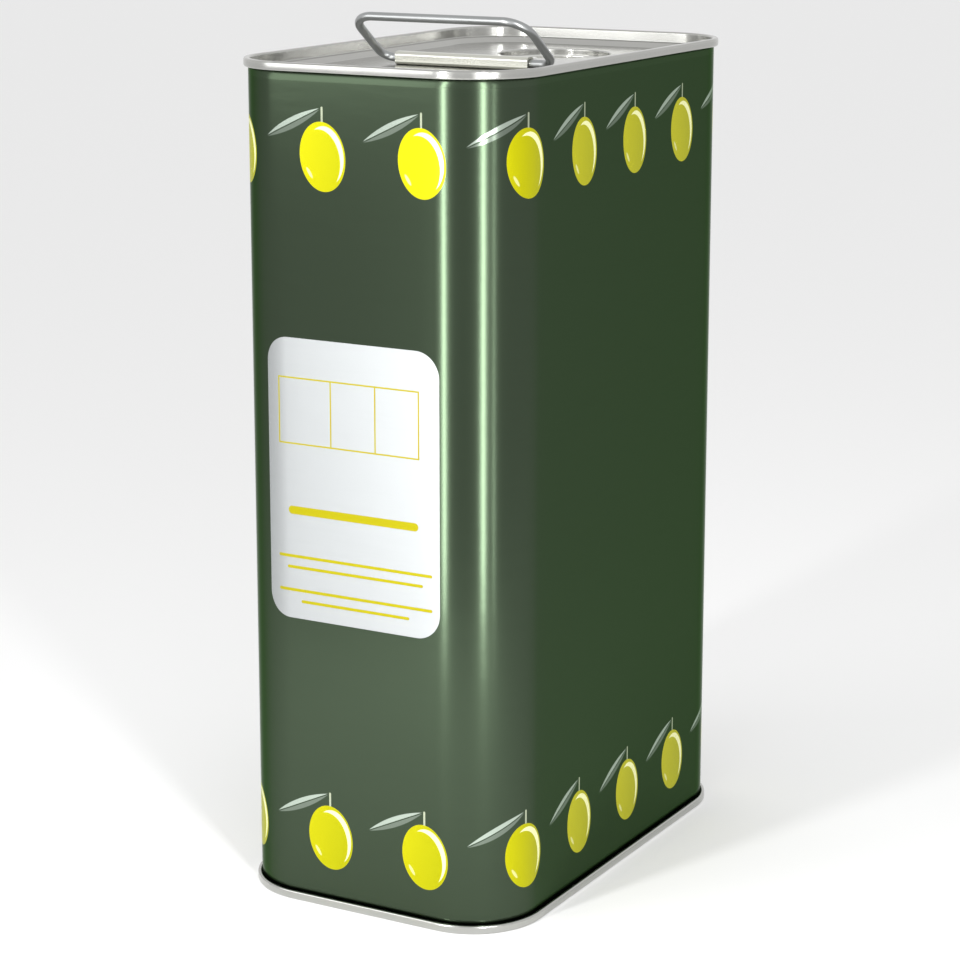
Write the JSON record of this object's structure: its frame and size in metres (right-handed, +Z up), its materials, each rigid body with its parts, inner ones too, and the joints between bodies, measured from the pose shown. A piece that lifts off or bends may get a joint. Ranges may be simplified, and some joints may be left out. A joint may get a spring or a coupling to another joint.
{
  "type": "olive oil tin with spout",
  "caption": "Rectangular tinplate oil tin with double-seamed ends, a folding wire handle and a sunk pull-up pouring spout with a screw cap and pull ring.",
  "frame": {"origin": "on the floor under the middle of the tin", "axes": "+Z up; -Y out of the narrow face that carries the label panel; +X out of the broad face that the picture shows"},
  "size_m": [0.0932, 0.1516, 0.2564],
  "materials": {
    "printed_tinplate": "green transparent lacquer over brushed tinplate, gloss varnish, printed border and label panel",
    "bright_tinplate": "bright rolled tinplate",
    "bracket_tinplate": "bright folded tinplate",
    "ring_tinplate": "bright pressed tinplate",
    "galvanised_wire": "galvanised drawn wire, satin",
    "seam_compound": "matte",
    "gasket_rubber": "matte",
    "spout_plastic": "moulded polyethylene, soft gloss",
    "cap_plastic": "moulded polyethylene, soft gloss",
    "liner_foam": "foamed liner, matte"
  },
  "bodies": {
    "tin": {"body_shell": "printed_tinplate", "top_end": "bright_tinplate", "bottom_end": "bright_tinplate", "top_seam_compound": "seam_compound", "bottom_seam_compound": "seam_compound", "handle_bracket": "bracket_tinplate", "crimp_ring": "ring_tinplate", "spout_gasket": "gasket_rubber", "spout_collar": "spout_plastic"},
    "handle": {"wire_handle": "galvanised_wire"},
    "spout": {"spout_nozzle": "spout_plastic"},
    "liner": {"cap_liner": "liner_foam"},
    "cap": {"screw_cap": "cap_plastic"},
    "ring": {"pull_ring": "cap_plastic"}
  },
  "joints": [
    {"name": "handle_swing", "type": "hinge", "parent": "tin", "child": "handle", "pos_m": [0.0015, -0.0161, 0.24195], "axis": [-1, 0, 0], "range_deg": [-36, 144]},
    {"name": "spout_pull", "type": "slide", "parent": "tin", "child": "spout", "axis": [0, 0, 1], "range_m": [0, 0.022]},
    {"name": "cap_lift", "type": "slide", "parent": "spout", "child": "liner", "axis": [0, 0, 1], "range_m": [0, 0.0055]},
    {"name": "cap_turn", "type": "hinge", "parent": "liner", "child": "cap", "pos_m": [0, 0.04, 0.236], "axis": [0, 0, 1], "range_deg": [0, 540]},
    {"name": "ring_fold", "type": "hinge", "parent": "cap", "child": "ring", "pos_m": [0, 0.04, 0.2373], "axis": [-1, 0, 0], "range_deg": [0, 180]}
  ],
  "couplings": [
    {"joint": "cap_lift", "follows": "cap_turn", "m_per_rad": 0.00055704}
  ]
}
